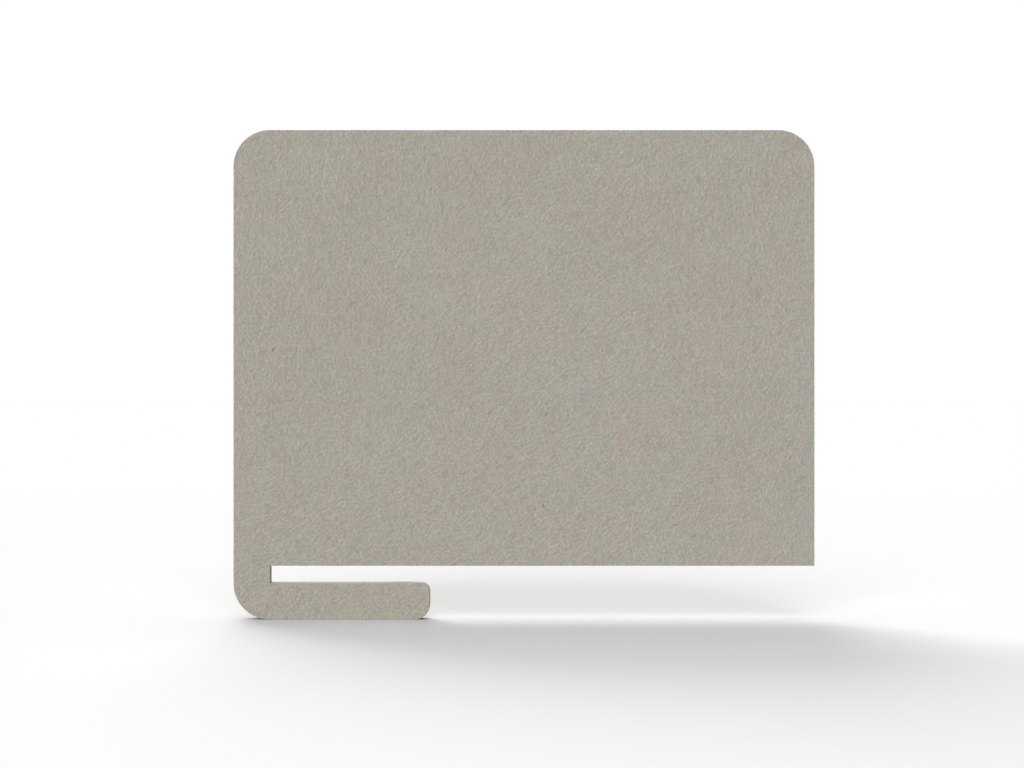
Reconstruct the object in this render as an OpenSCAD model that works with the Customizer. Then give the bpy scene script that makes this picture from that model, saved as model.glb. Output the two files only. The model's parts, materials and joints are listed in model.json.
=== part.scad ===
// Slide-on acoustic divider screen for a desk.
// Two felt boards are pressed together over a hot-melt film, and one hooked outline is cut through
// the sandwich: a tall panel, a leg that passes the desktop's edge, and an arm that lies under it.
// X runs along the desktop, away from the edge that the slot takes in. Z is up, and -Y is the front.
// The origin is halfway through the thickness, where the slot's end meets the desktop's top face.

/* [Panel] */
// Length of the screen from end to end
screen_w = 800; // [450:5:1800]
// Height of the screen above the desktop
screen_h = 600; // [250:5:1000]
// Radius of the two top corners
top_r = 50; // [5:1:120]

/* [Leg and arm] */
// Width of the leg that goes down past the desktop's edge
leg_w = 50; // [35:1:120]
// Radius of the heel, which is the outer corner between leg and arm
heel_r = 50; // [5:1:70]
// Height of the arm that lies under the desktop
arm_h = 50; // [45:1:100]
// Length of the arm from the slot's end to its tip
arm_reach = 220; // [80:5:400]
// Radius of the tip's upper corner, which leads the desktop into the slot
tip_upper_r = 12; // [4:1:18]
// Radius of the tip's lower corner
tip_lower_r = 20; // [4:1:26]

/* [Slot] */
// Height of the slot, which is the thickest desktop that it takes
slot_h = 24; // [12:0.5:50]

/* [Boards] */
// Thickness of one felt board as pressed
board_t = 11.9; // [5:0.1:20]
// Thickness of the melted film between the boards
film_t = 0.2; // [0.1:0.05:1]
// Distance that the film's edge stays behind the cut edge, over which the felt springs back
film_recess = 0.3; // [0:0.1:2]
// Width of the eased arris round both outer faces
arris_w = 0.6; // [0.2:0.1:1.5]

/* [Hidden] */
// Segments in a circle
$fn = 96;
// Distance that a cutting shape runs past what it cuts
overrun = 0.5;
// Turn of the outline at each of its corners, in degrees
quarter = 90;
felt_colour = "#aaa59a";
film_colour = "#d9d6cc";

// Corners of the hooked outline, counter-clockwise with the felt on the left: [x, z, radius]
function corners() = [
    [0, 0, 0],
    [screen_w - leg_w, 0, 0],
    [screen_w - leg_w, screen_h, top_r],
    [-leg_w, screen_h, top_r],
    [-leg_w, -slot_h - arm_h, heel_r],
    [arm_reach, -slot_h - arm_h, tip_lower_r],
    [arm_reach, -slot_h, tip_upper_r],
    [0, -slot_h, 0],
];

function point(c) = [c.x, c.y];
function radius(c) = c[2];
function next(list, i) = list[(i + 1) % len(list)];
function previous(list, i) = list[(i + len(list) - 1) % len(list)];
function heading(a, b) = (point(b) - point(a)) / norm(point(b) - point(a));
function left(d) = [-d.y, d.x];
function angle_of(d) = atan2(d.y, d.x);

// Heading into and out of corner i, and the diagonal from the corner into the felt
function heading_in(list, i) = heading(previous(list, i), list[i]);
function heading_out(list, i) = heading(list[i], next(list, i));
function inward(list, i) = left(heading_in(list, i)) + left(heading_out(list, i));
function is_convex(list, i) = cross(heading_in(list, i), heading_out(list, i)) > 0;

// The same outline, moved in by one distance all round
function inset_corners(list, distance) = [
    for (i = [0 : len(list) - 1])
        let (p = point(list[i]) + distance * inward(list, i))
        [p.x, p.y, max(radius(list[i]) - distance, 0)]
];

// What a rounded corner loses, drawn with the corner at the origin and the felt at upper right
module corner_waste(r) {
    difference() {
        translate([-overrun, -overrun]) square(r + overrun);
        translate([r, r]) circle(r);
    }
}

// The whole outline as a flat shape
module outline(list) {
    difference() {
        polygon([for (c = list) point(c)]);
        for (i = [0 : len(list) - 1])
            if (radius(list[i]) > 0)
                translate(point(list[i]))
                    rotate(angle_of(heading_out(list, i)))
                        corner_waste(radius(list[i]));
    }
}

// What the arris loses in cross-section: x is the distance in from the cut edge, y the height over the face
module arris_section() {
    polygon([
        [-overrun, overrun],
        [arris_w + overrun, overrun],
        [-overrun, -arris_w - overrun],
    ]);
}

// The same section where it turns about an inner corner, with nothing behind the corner itself
module inner_arris_section() {
    polygon([
        [0, overrun],
        [arris_w + overrun, overrun],
        [0, -arris_w],
    ]);
}

// Arris cut along the straight stretch that leaves corner i
module arris_run(list, i) {
    here = list[i];
    there = next(list, i);
    // A sharp outer corner lets the cut run on, and any other end stops it
    start = is_convex(list, i) && radius(here) == 0 ? -overrun : radius(here);
    j = (i + 1) % len(list);
    finish = is_convex(list, j) && radius(there) == 0 ? -overrun : radius(there);
    translate(point(here))
        rotate(angle_of(heading_out(list, i)))
            translate([start, 0])
                rotate([90, 0, 90])
                    linear_extrude(norm(point(there) - point(here)) - start - finish)
                        arris_section();
}

// Arris cut round corner i
module arris_turn(list, i) {
    r = radius(list[i]);
    if (is_convex(list, i) && r > 0)
        translate(point(list[i]) + r * inward(list, i))
            rotate(angle_of(-left(heading_in(list, i))))
                rotate_extrude(angle = quarter)
                    translate([r, 0]) mirror([1, 0]) arris_section();
    if (!is_convex(list, i))
        translate(point(list[i]))
            rotate(angle_of(left(heading_out(list, i))))
                rotate_extrude(angle = quarter)
                    inner_arris_section();
}

// One board, lying with its glued face down and its eased face up
module flat_board() {
    list = corners();
    difference() {
        linear_extrude(board_t) outline(list);
        for (i = [0 : len(list) - 1])
            translate([0, 0, board_t]) {
                arris_run(list, i);
                arris_turn(list, i);
            }
    }
}

// Stands a flat piece up on its edge, with what was its top towards the front
module stand_up() {
    rotate([90, 0, 0]) children();
}

module front_board() {
    color(felt_colour)
        stand_up() translate([0, 0, film_t / 2]) flat_board();
}

module rear_board() {
    color(felt_colour)
        mirror([0, 1, 0]) stand_up() translate([0, 0, film_t / 2]) flat_board();
}

module bond_film() {
    color(film_colour)
        stand_up() translate([0, 0, -film_t / 2])
            linear_extrude(film_t) outline(inset_corners(corners(), film_recess));
}

front_board();
bond_film();
rear_board();
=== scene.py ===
"""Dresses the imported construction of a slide-on felt desk screen.

It makes the pressed felt of both boards, with its cut edges and eased arrises, the strands that lie
in the felt's faces and edges, the bond line between the boards, and a plain pale studio.
"""

import json

import bpy
import numpy as np
from bpy.props import FloatProperty, FloatVectorProperty, IntProperty, PointerProperty
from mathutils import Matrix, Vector


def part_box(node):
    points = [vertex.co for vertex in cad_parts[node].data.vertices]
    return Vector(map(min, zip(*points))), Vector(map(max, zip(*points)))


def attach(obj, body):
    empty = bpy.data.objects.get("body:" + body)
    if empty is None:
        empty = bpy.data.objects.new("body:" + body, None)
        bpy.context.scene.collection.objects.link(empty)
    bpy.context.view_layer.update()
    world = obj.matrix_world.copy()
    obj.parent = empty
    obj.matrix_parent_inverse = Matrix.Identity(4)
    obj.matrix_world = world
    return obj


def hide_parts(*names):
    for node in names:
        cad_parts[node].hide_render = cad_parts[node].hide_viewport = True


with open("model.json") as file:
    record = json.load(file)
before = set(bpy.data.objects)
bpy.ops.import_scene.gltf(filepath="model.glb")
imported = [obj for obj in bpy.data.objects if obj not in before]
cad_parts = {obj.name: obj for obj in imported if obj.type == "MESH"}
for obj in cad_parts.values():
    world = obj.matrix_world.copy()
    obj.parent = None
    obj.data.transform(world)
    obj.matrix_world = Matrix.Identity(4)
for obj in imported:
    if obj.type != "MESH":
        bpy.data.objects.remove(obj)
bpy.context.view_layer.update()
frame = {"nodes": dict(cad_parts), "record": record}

bl_info = {
    "name": "Felt desk screen",
    "version": (1, 0, 0),
    "blender": (4, 5, 0),
    "location": "3D View > Sidebar > Desk Screen",
    "description": "Builds a slide-on desk screen of pressed felt, and a studio to show it in",
    "category": "Object",
}

# Construction that the looks are built round
BODY = "root"
FILM = "bond_film"
SIDES = {"front_board": -1, "rear_board": 1}
BOARD_LOW, BOARD_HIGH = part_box("front_board")
MOUNTS = {mount["name"]: Vector(mount["pos_m"]) for mount in frame["record"]["mounts"]}
MM = 0.001
# How many times longer than wide the streaks of a cut edge are
STREAK = 9
# Steps of a board's profile round its arris and down its wall
ARRIS_STEPS, WALL_STEPS = 4, 7
# How far from the glue the wall ends, in depths of the groove, and how rough the edge is at the glue
WALL_LEAVES, GLUE_ROUGH = 1.5, 0.3


class ScreenSizes(bpy.types.PropertyGroup):
    """Sizes of the hooked outline and of the mesh over it."""

    length: FloatProperty(
        name="Length", description="Length of the screen from end to end",
        default=BOARD_HIGH.x - BOARD_LOW.x, unit="LENGTH",
    )
    height: FloatProperty(
        name="Height", description="Height of the screen above the desktop",
        default=BOARD_HIGH.z, unit="LENGTH",
    )
    leg_width: FloatProperty(
        name="Leg width", description="Width of the leg that passes the desktop's edge",
        default=-BOARD_LOW.x, unit="LENGTH",
    )
    drop: FloatProperty(
        name="Drop", description="Depth of the arm's underside below the desktop's top face",
        default=-BOARD_LOW.z, unit="LENGTH",
    )
    slot_height: FloatProperty(
        name="Slot height", description="Height of the slot that takes the desktop",
        default=-MOUNTS["under_desk_grip"].z, unit="LENGTH",
    )
    board_face: FloatProperty(
        name="Face distance", description="Distance of each outer face from the middle of the film",
        default=-BOARD_LOW.y, unit="LENGTH",
    )
    board_back: FloatProperty(
        name="Back distance", description="Distance of each glued face from the middle of the film",
        default=-BOARD_HIGH.y, unit="LENGTH",
    )
    arm_reach: FloatProperty(
        name="Arm reach", description="Length of the arm from the slot's end to its tip",
        default=220 * MM, unit="LENGTH",
    )
    top_radius: FloatProperty(
        name="Top radius", description="Radius of the two top corners",
        default=50 * MM, unit="LENGTH",
    )
    heel_radius: FloatProperty(
        name="Heel radius", description="Radius of the outer corner between leg and arm",
        default=50 * MM, unit="LENGTH",
    )
    tip_upper_radius: FloatProperty(
        name="Tip upper radius", description="Radius of the tip's upper corner",
        default=12 * MM, unit="LENGTH",
    )
    tip_lower_radius: FloatProperty(
        name="Tip lower radius", description="Radius of the tip's lower corner",
        default=20 * MM, unit="LENGTH",
    )
    arris_radius: FloatProperty(
        name="Arris radius", description="Radius of the eased arris round each outer face",
        default=0.4 * MM, unit="LENGTH",
    )
    groove: FloatProperty(
        name="Bond groove", description="Distance that the glued arrises stay behind the cut edge",
        default=0.12 * MM, unit="LENGTH",
    )
    cell: FloatProperty(
        name="Mesh cell", description="Distance between neighbouring points of the felt's mesh",
        default=3 * MM, unit="LENGTH",
    )


class FeltFinish(bpy.types.PropertyGroup):
    """Colours, relief and strands of the pressed felt."""

    ground: FloatVectorProperty(
        name="Ground", description="Colour between the strands",
        default=(0.390, 0.361, 0.309), subtype="COLOR", min=0, max=1,
    )
    cool: FloatVectorProperty(
        name="Cool strands", description="Colour of the bluish grey strands",
        default=(0.370, 0.347, 0.362), subtype="COLOR", min=0, max=1,
    )
    green: FloatVectorProperty(
        name="Green strands", description="Colour of the greenish cream strands",
        default=(0.360, 0.382, 0.312), subtype="COLOR", min=0, max=1,
    )
    warm: FloatVectorProperty(
        name="Warm strands", description="Colour of the yellowish strands",
        default=(0.408, 0.377, 0.290), subtype="COLOR", min=0, max=1,
    )
    rosy: FloatVectorProperty(
        name="Rosy strands", description="Colour of the pinkish strands",
        default=(0.429, 0.319, 0.327), subtype="COLOR", min=0, max=1,
    )
    relief: FloatProperty(
        name="Relief", description="Height of the broad unevenness of a pressed face",
        default=0.04 * MM, unit="LENGTH",
    )
    edge_relief: FloatProperty(
        name="Edge relief", description="Height of the unevenness of a cut edge",
        default=0.07 * MM, unit="LENGTH",
    )
    strand_count: IntProperty(
        name="Strands", description="Number of loose strands in each half of a face",
        default=2600, min=1,
    )
    strand_length: FloatProperty(
        name="Strand length", description="Usual length of a strand",
        default=42 * MM, unit="LENGTH",
    )
    strand_radius: FloatProperty(
        name="Strand radius", description="Usual half-width of a strand as pressed",
        default=0.32 * MM, unit="LENGTH",
    )
    edge_strand_count: IntProperty(
        name="Edge strands", description="Number of strands in each board's cut edge",
        default=2600, min=1,
    )
    # The cut edges and their strands are painted lighter: partly the lighter look of cut fibres, partly
    # painted light standing in for the light that falls on the arm's top face
    edge_fibre_and_painted_light: FloatProperty(
        name="Edge light", description="How many times lighter the felt is where it's cut",
        default=1.15, min=0,
    )
    fleck: FloatVectorProperty(
        name="Flecks", description="Colour of the stray orange tufts",
        default=(0.37, 0.19, 0.08), subtype="COLOR", min=0, max=1,
    )
    speck: FloatVectorProperty(
        name="Specks", description="Colour of the stray dark tufts",
        default=(0.10, 0.10, 0.11), subtype="COLOR", min=0, max=1,
    )
    seed: IntProperty(
        name="Seed", description="Start of every random draw",
        default=11,
    )


class StudioSetup(bpy.types.PropertyGroup):
    """Floor, lights and camera."""

    floor_colour: FloatVectorProperty(
        name="Floor colour", description="Colour of the floor",
        default=(0.727, 0.727, 0.727), subtype="COLOR", min=0, max=1,
    )
    brightness: FloatProperty(
        name="Brightness", description="Strength of all lights together",
        default=1.0, min=0,
    )
    bounce: FloatProperty(
        name="Bounce", description="Strength of the pale light that comes up from below",
        default=9.56, min=0,
    )
    lens: FloatProperty(
        name="Lens", description="Focal length in millimetres",
        default=78,
    )
    distance: FloatProperty(
        name="Distance", description="Distance of the camera from the front face",
        default=3.055, unit="LENGTH",
    )


def lattice_noise(u, v, cell, seed):
    """Smooth noise of two coordinates, about -2 to 2.

    A lattice holds one random height every cell. Between its points the height runs along
    t * t * (3 - 2 * t), first in u and then in v.
    """
    side = 512
    heights = np.random.default_rng(seed).standard_normal((side, side))
    u, v = np.asarray(u) / cell, np.asarray(v) / cell
    column, row = np.floor(u).astype(int), np.floor(v).astype(int)
    tu, tv = u - column, v - row
    tu, tv = tu * tu * (3 - 2 * tu), tv * tv * (3 - 2 * tv)
    here, beyond = column % side, (column + 1) % side
    below, above = row % side, (row + 1) % side
    low = heights[here, below] * (1 - tu) + heights[beyond, below] * tu
    high = heights[here, above] * (1 - tu) + heights[beyond, above] * tu
    return low * (1 - tv) + high * tv


def layered_noise(u, v, cells, shares, seed):
    """Sum of lattice noises, each with its own cell and its share of the height."""
    layers = enumerate(zip(cells, shares))
    return sum(share * lattice_noise(u, v, cell, seed + step) for step, (cell, share) in layers)


def face_relief(x, z, finish, side):
    """Height of a pressed face over its true plane: broad soft unevenness with finer lumps on it."""
    cells, shares = (26 * MM, 11 * MM, 6.5 * MM), (0.5, 0.35, 0.25)
    return finish.relief * layered_noise(x, z, cells, shares, finish.seed + side)


def edge_relief(run, depth, finish, side):
    """Height of a cut edge over its true wall: streaks along the boards' layers, and small lumps."""
    cells, shares = (0.9 * MM, 2.2 * MM), (0.5, 0.4)
    streaks = layered_noise(run / STREAK, depth, cells, shares, finish.seed + 20 + side)
    lumps = lattice_noise(run, depth, 4 * MM, finish.seed + 30 + side)
    return finish.edge_relief * (streaks + 0.5 * lumps)


class Hook:
    """The hooked outline, moved into the felt by inset: its edges as heights over x."""

    def __init__(self, size, inset):
        self.inset = inset
        self.left = -size.leg_width + inset
        self.join = -inset
        self.right = size.length - size.leg_width - inset
        self.tip = size.arm_reach - inset
        self.levels = (-size.drop + inset, -size.slot_height - inset, inset, size.height - inset)
        left, right, tip = -size.leg_width, size.length - size.leg_width, size.arm_reach
        top, heel = size.top_radius, size.heel_radius
        upper, lower = size.tip_upper_radius, size.tip_lower_radius
        # Each edge's level and outward side, and its rounded corners: centre, side and radius
        self.edges = {
            "top": (size.height, 1, [(left + top, -1, top), (right - top, 1, top)]),
            "heel": (-size.drop, -1, [(left + heel, -1, heel)]),
            "under": (0.0, -1, []),
            "arm_top": (-size.slot_height, 1, [(tip - upper, 1, upper)]),
            "arm_under": (-size.drop, -1, [(tip - lower, 1, lower)]),
        }

    def edge(self, name, x):
        """Height of the named edge at each x.

        It is the edge's level, less the inset. Past the centre of a rounded corner it follows that
        corner's circle, whose radius is less by the same inset.
        """
        level, outward, corners = self.edges[name]
        z = np.full_like(x, level - outward * self.inset)
        for centre, side, radius in corners:
            past = (x - centre) * side
            rise = np.sqrt(np.clip((radius - self.inset) ** 2 - past**2, 0, None))
            z = np.where(past > 0, level - outward * (radius - rise), z)
        return z

    def holds(self, x, z):
        """Whether each place lies in the felt, within the inset outline."""

        def between(low, high):
            return (z >= self.edge(low, x)) & (z <= self.edge(high, x))

        leg = (x >= self.left) & (x <= self.join) & between("heel", "top")
        panel = (x > self.join) & (x <= self.right) & between("under", "top")
        arm = (x > self.join) & (x <= self.tip) & between("arm_under", "arm_top")
        return leg | panel | arm


def columns(start, end, radii, inset, span, cell):
    """Places along a patch of the felt from start to end.

    Over a rounded end they follow equal steps of the corner's angle, x = start + r (1 - cos a), and
    they are evenly spaced between. Span and both radii are the true ones, without the inset, so that
    the number of places is the same at every inset.
    """
    head_radius, tail_radius = radii
    head_steps = round(min(span, head_radius) * np.pi / 2 / cell)
    tail_steps = round(tail_radius * np.pi / 2 / cell)
    flat_steps = round(max(0, span - head_radius - tail_radius) / cell)
    length = end - start
    turn = np.arccos(1 - length / max(head_radius - inset, length))
    head = start + (head_radius - inset) * (1 - np.cos(np.linspace(0, turn, head_steps + 1)))
    tail = end - (tail_radius - inset) * (1 - np.cos(np.linspace(0, np.pi / 2, tail_steps + 1)[::-1]))
    flat = np.linspace(head[-1], tail[0], flat_steps + 1)[1:]
    return np.concatenate([head, flat, tail[1:]])


def felt_grids(size, inset):
    """Places over the hooked outline, moved in by inset, as three grids that share their joins.

    Each grid is a function of two parameters. x runs through columns, and z is
    lower(x) + v (upper(x) - lower(x)) with v from 0 to 1. Returns the places, one row of x and z
    each, and the leg's, panel's and arm's grids of point numbers, by column and then by row.
    """
    hook = Hook(size, inset)
    heights = (size.drop - size.slot_height, size.slot_height, size.height)
    steps = [max(1, round(height / size.cell)) for height in heights]
    spans = zip(hook.levels, hook.levels[1:], steps)
    rows = [np.linspace(low, high, count, endpoint=False) for low, high, count in spans]
    z_join = np.concatenate([*rows, hook.levels[-1:]])
    share = (z_join - z_join[0]) / (z_join[-1] - z_join[0])
    leg_radius = max(size.top_radius, size.heel_radius)
    tip_radius = max(size.tip_upper_radius, size.tip_lower_radius)
    panel_span = size.length - size.leg_width
    leg_x = columns(hook.left, hook.join, (leg_radius, 0), inset, size.leg_width, size.cell)
    panel_x = columns(hook.join, hook.right, (0, size.top_radius), inset, panel_span, size.cell)
    arm_x = columns(hook.join, hook.tip, (0, tip_radius), inset, size.arm_reach, size.cell)
    arm_top, slot_top = steps[0], steps[0] + steps[1]

    def fill(x, low, high, rows):
        rows = (rows - rows[0]) / (rows[-1] - rows[0])
        lower, upper = hook.edge(low, x), hook.edge(high, x)
        z = lower[:, None] + rows[None] * (upper - lower)[:, None]
        return np.stack([np.broadcast_to(x[:, None], z.shape), z], axis=2)

    leg_places = fill(leg_x, "heel", "top", share)
    panel_places = fill(panel_x, "under", "top", share[slot_top:])
    arm_places = fill(arm_x, "arm_under", "arm_top", share[: arm_top + 1])
    leg = np.arange(leg_places[..., 0].size).reshape(leg_places.shape[:2])
    grids = [leg]
    places = [leg_places.reshape(-1, 2)]
    count = leg.size
    for filled, shared in ((panel_places, leg[-1, slot_top:]), (arm_places, leg[-1, : arm_top + 1])):
        rest = count + np.arange(filled[1:, :, 0].size).reshape(filled[1:].shape[:2])
        grids.append(np.vstack([shared, rest]))
        places.append(filled[1:].reshape(-1, 2))
        count += rest.size
    return np.concatenate(places), grids


def rim_of(grids):
    """Point numbers round the outline, with the felt on the left, from the slot's upper corner."""
    leg, panel, arm = grids
    arm_top, slot_top = arm.shape[1] - 1, leg.shape[1] - panel.shape[1]
    panel_side = [panel[:, 0], panel[-1, 1:], panel[-2::-1, -1]]
    leg_side = [leg[-2::-1, -1], leg[0, -2::-1], leg[1:, 0]]
    arm_side = [arm[1:, 0], arm[-1, 1:], arm[-2::-1, -1]]
    return np.concatenate([*panel_side, *leg_side, *arm_side, leg[-1, arm_top + 1 : slot_top]])


def outline_run(size):
    """The true outline as places, outward directions and the distance along it.

    An outward direction is how far the outline moves as an inset shrinks by one. Where the outline
    is straight or round it is the normal, and at a sharp corner it is the sum of both normals.
    """
    near, grids = felt_grids(size, size.arris_radius)
    true, grids = felt_grids(size, 0.0)
    rim = rim_of(grids)
    places = true[rim]
    outward = (places - near[rim]) / size.arris_radius
    lengths = np.linalg.norm(np.roll(places, -1, axis=0) - places, axis=1)
    return places, outward, np.concatenate([[0], np.cumsum(lengths)])


def quads_of(grid):
    """Faces of a grid of point numbers, turned so that x crossed with z points out of the front."""
    return np.stack([grid[:-1, :-1], grid[1:, :-1], grid[1:, 1:], grid[:-1, 1:]], axis=-1).reshape(-1, 4)


def glued_face(grids, number):
    """Faces that close a board's glued side, one for each column of the grids.

    number gives each rim point's place in the board's last ring. A column at an end, or at the slot's
    end, takes in every point of that side, so that the board is closed without a gap.
    """
    leg, panel, arm = (number[grid] for grid in grids)
    arm_top, slot_top = arm.shape[1] - 1, leg.shape[1] - panel.shape[1]
    faces = [[leg[0, 0], leg[1, 0], leg[1, -1], *leg[0, :0:-1]]]
    faces += [[a[0], b[0], b[-1], a[-1]] for a, b in zip(leg[1:-2], leg[2:-1])]
    faces.append([leg[-2, 0], leg[-1, 0], *leg[-1, arm_top : slot_top + 1], leg[-1, -1], leg[-2, -1]])
    for grid in (panel, arm):
        faces += [[a[0], b[0], b[-1], a[-1]] for a, b in zip(grid[:-2], grid[1:-1])]
        faces.append([grid[-2, 0], *grid[-1], grid[-2, -1]])
    return [[int(n) for n in face] for face in faces]


def new_piece(name, points, faces, materials):
    """An object with a smooth-shaded mesh of these points and faces, riding on the screen's body."""
    mesh = bpy.data.meshes.new(name)
    mesh.from_pydata(np.asarray(points).tolist(), [], faces)
    for material in materials:
        mesh.materials.append(material)
    mesh.polygons.foreach_set("use_smooth", np.ones(len(mesh.polygons), bool))
    piece = bpy.data.objects.new(name, mesh)
    bpy.context.scene.collection.objects.link(piece)
    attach(piece, BODY)
    return piece


def felt_board(name, side, size, finish, materials):
    """One board as a closed mesh.

    Its face is the three grids, raised by the relief. From the face's rim a profile is carried round
    the outline: a quarter circle for the arris, the wall down to the glue, and a small arris there.
    A profile point at inset i and height h lies at rim + (arris - i) outward, h from the film.
    """
    arris = size.arris_radius
    flat, grids = felt_grids(size, arris)
    rim = rim_of(grids)
    true, outward, run = outline_run(size)
    rise = face_relief(flat[:, 0], flat[:, 1], finish, side)
    turns = np.linspace(0, np.pi / 2, ARRIS_STEPS + 1)[1:]
    wall_end = size.board_back + WALL_LEAVES * size.groove
    wall = np.linspace(size.board_face - arris, wall_end, WALL_STEPS + 1)[1:]
    insets = np.concatenate([arris * (1 - np.sin(turns)), np.zeros(len(wall)), [size.groove]])
    heights = np.concatenate([size.board_face - arris * (1 - np.cos(turns)), wall, [size.board_back]])
    on_arris = np.concatenate([np.cos(turns), np.zeros(len(wall) + 1)])
    roughness = np.concatenate([np.sin(turns), np.ones(len(wall)), [GLUE_ROUGH]])
    rough = edge_relief(run[:-1][None], heights[:, None], finish, side) * roughness[:, None]
    reach = (rough - insets[:, None])[..., None] * outward[None]
    ring_places = true[None] + reach
    ring_heights = heights[:, None] + on_arris[:, None] * rise[rim][None]
    places = np.concatenate([flat, ring_places.reshape(-1, 2)])
    depths = np.concatenate([size.board_face + rise, ring_heights.ravel()])
    points = np.stack([places[:, 0], side * depths, places[:, 1]], axis=1)

    made = len(flat) + np.arange(len(heights) * len(rim)).reshape(len(heights), -1)
    rings = np.vstack([rim, made])
    after = np.roll(rings, -1, axis=1)
    band = np.stack([rings[1:], after[1:], after[:-1], rings[:-1]], axis=-1)
    face_quads = np.concatenate([quads_of(grid) for grid in grids])
    number = np.zeros(len(flat), int)
    number[rim] = rings[-1]
    back = [face[::-1] for face in glued_face(grids, number)]

    up = side * np.concatenate([[size.board_face], heights])
    wall_uv = np.stack(np.meshgrid(run, up), axis=-1)
    band_uv = np.stack([wall_uv[1:, :-1], wall_uv[1:, 1:], wall_uv[:-1, 1:], wall_uv[:-1, :-1]], axis=2)
    arris_uv = places[band[:ARRIS_STEPS]]
    uv = [places[face_quads], arris_uv.reshape(-1, 4, 2), band_uv[ARRIS_STEPS:].reshape(-1, 4, 2)]
    quads = np.concatenate([face_quads, band.reshape(-1, 4)])
    quad_uv = np.concatenate(uv)
    if side > 0:
        quads, quad_uv = quads[:, ::-1], quad_uv[:, ::-1]
        back = [face[::-1] for face in back]
    piece = new_piece(name, points, quads.tolist() + back, materials)
    layer = piece.data.uv_layers.new(name="felt")
    back_uv = places[np.concatenate([np.array(face) for face in back])]
    layer.data.foreach_set("uv", np.concatenate([quad_uv.reshape(-1, 2), back_uv]).ravel())
    is_wall = np.zeros(len(piece.data.polygons), np.int32)
    is_wall[len(face_quads) + ARRIS_STEPS * len(rim) : len(quads)] = 1
    piece.data.polygons.foreach_set("material_index", is_wall)
    return piece


def strands(name, centres, out, radii, tints, material):
    """Closed thin tubes along many centre lines, as one piece with a tint for each strand.

    They are rings of three points. A ring point is centre + r (cos a across + FLATNESS sin a out),
    where across is square to both the line and the outward direction.
    """
    across = np.cross(out, np.gradient(centres, axis=1))
    across /= np.linalg.norm(across, axis=2, keepdims=True)
    angles = np.radians([90, 210, 330])[:, None]
    spread = np.cos(angles) * across[:, :, None]
    height = FLATNESS * np.sin(angles) * out[:, :, None]
    points = centres[:, :, None] + radii[:, :, None, None] * (spread + height)
    count, rings, sides = points.shape[:3]
    number = np.arange(count * rings * sides).reshape(count, rings, sides)
    after = np.roll(number, -1, axis=2)
    quads = np.stack([number[:, :-1], after[:, :-1], after[:, 1:], number[:, 1:]], axis=-1)
    caps = np.concatenate([number[:, 0, ::-1], number[:, -1]])
    faces = quads.reshape(-1, 4).tolist() + caps.tolist()
    piece = new_piece(name, points.reshape(-1, 3), faces, [material])
    layer = piece.data.attributes.new("tint", "FLOAT", "POINT")
    layer.data.foreach_set("value", np.repeat(tints, rings * sides).astype(np.float32))
    return piece


def wandering_paths(rng, count, low, high, heading, lengths, bend, steps):
    """Curved paths in a plane, centred on random places: a heading that turns steadily and waves.

    At share t of its length a path heads at heading + bend (t - 1/2) + wave sin(2 pi (t + phase)).
    Places are the running sum of unit steps along that heading. heading is a function of the centre.
    """
    centre = rng.uniform(low, high, (count, 2))
    turn = rng.normal(0, bend, count)
    wave = rng.normal(0, 0.5 * bend, count)
    phase = rng.uniform(0, 1, count)
    share = np.linspace(0, 1, steps)[None]
    angle = heading(centre, rng)[:, None] + turn[:, None] * (share - 0.5)
    angle = angle + wave[:, None] * np.sin(2 * np.pi * (share + phase[:, None]))
    step = np.stack([np.cos(angle), np.sin(angle)], axis=2) * (lengths / (steps - 1))[:, None, None]
    path = np.cumsum(step, axis=1) - step
    return path - path.mean(axis=1, keepdims=True) + centre[:, None]


def cut_to(inside, paths, points, least):
    """The first run of each path that lies inside, with its places spread evenly again.

    inside says of every place whether it is in. A path is kept if its run has at least that many
    places, and comes back with the given number of points, between which it was straight.
    """
    first = inside.argmax(axis=1)
    place = np.arange(paths.shape[1])[None]
    left_before = np.cumsum(~inside & (place >= first[:, None]), axis=1)
    run = inside & (left_before == 0)
    last = first + run.sum(axis=1) - 1
    keep = inside.any(axis=1) & (last - first >= least)
    paths, first, last = paths[keep], first[keep], last[keep]
    where = first[:, None] + np.linspace(0, 1, points)[None] * (last - first)[:, None]
    before = np.floor(where).astype(int).clip(0, paths.shape[1] - 2)
    part = (where - before)[..., None]
    start = np.take_along_axis(paths, before[..., None], axis=1)
    end = np.take_along_axis(paths, before[..., None] + 1, axis=1)
    return start * (1 - part) + end * part


# Where the lay is steep: bands that add up. A band's strength is the product of its ramps, and each
# ramp has an axis (0 is x, 1 is z), the places in metres where it starts and ends, and its most
LAY_BANDS = (
    ((0, 0.35, 0.10, 1.0), (1, 0.10, 0.25, 1.0)),
    ((0, 0.45, 0.80, 1.0),),
    ((1, 0.25, 0.65, 0.6),),
)
# Heading in degrees where the lay slants, and how much it rises to where the lay is steep
LAY_SLANT, LAY_RISE = 44, 34
# Spread about the lay in radians, and the share of strands that lie any way
LAY_SPREAD, STRAY_SHARE = 0.55, 0.25
# How thin a strand gets at its ends, and how flat it is pressed
TAPER, FLATNESS = 0.35, 0.35
# How many more strands are tried than kept, and how far past the outline they may start, in metres
SPARE, BEYOND = 2.2, 0.02
# Places along a strand while it wanders, once it is cut to the outline, and the fewest of the first
# that it may be left with
WANDER_STEPS, STRAND_POINTS, LEAST_STEPS = 28, 8, 5
# How far from the rim the strands stay in a face, and in a cut edge, in radii of the arris
FACE_MARGIN, EDGE_MARGIN = 1.2, 2
# Spread of the logarithms of a strand's length and half-width, and how far it bends, in radians
FACE_SPREAD, FACE_BEND = (0.35, 0.25), 1.0
EDGE_SPREAD, EDGE_BEND = (0.4, 0.25), 0.6
# Power by which a strand keeps its width towards its ends, in a face, a cut edge and a tuft
FACE_FULL, EDGE_FULL, TUFT_FULL = 5, 4, 3
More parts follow.
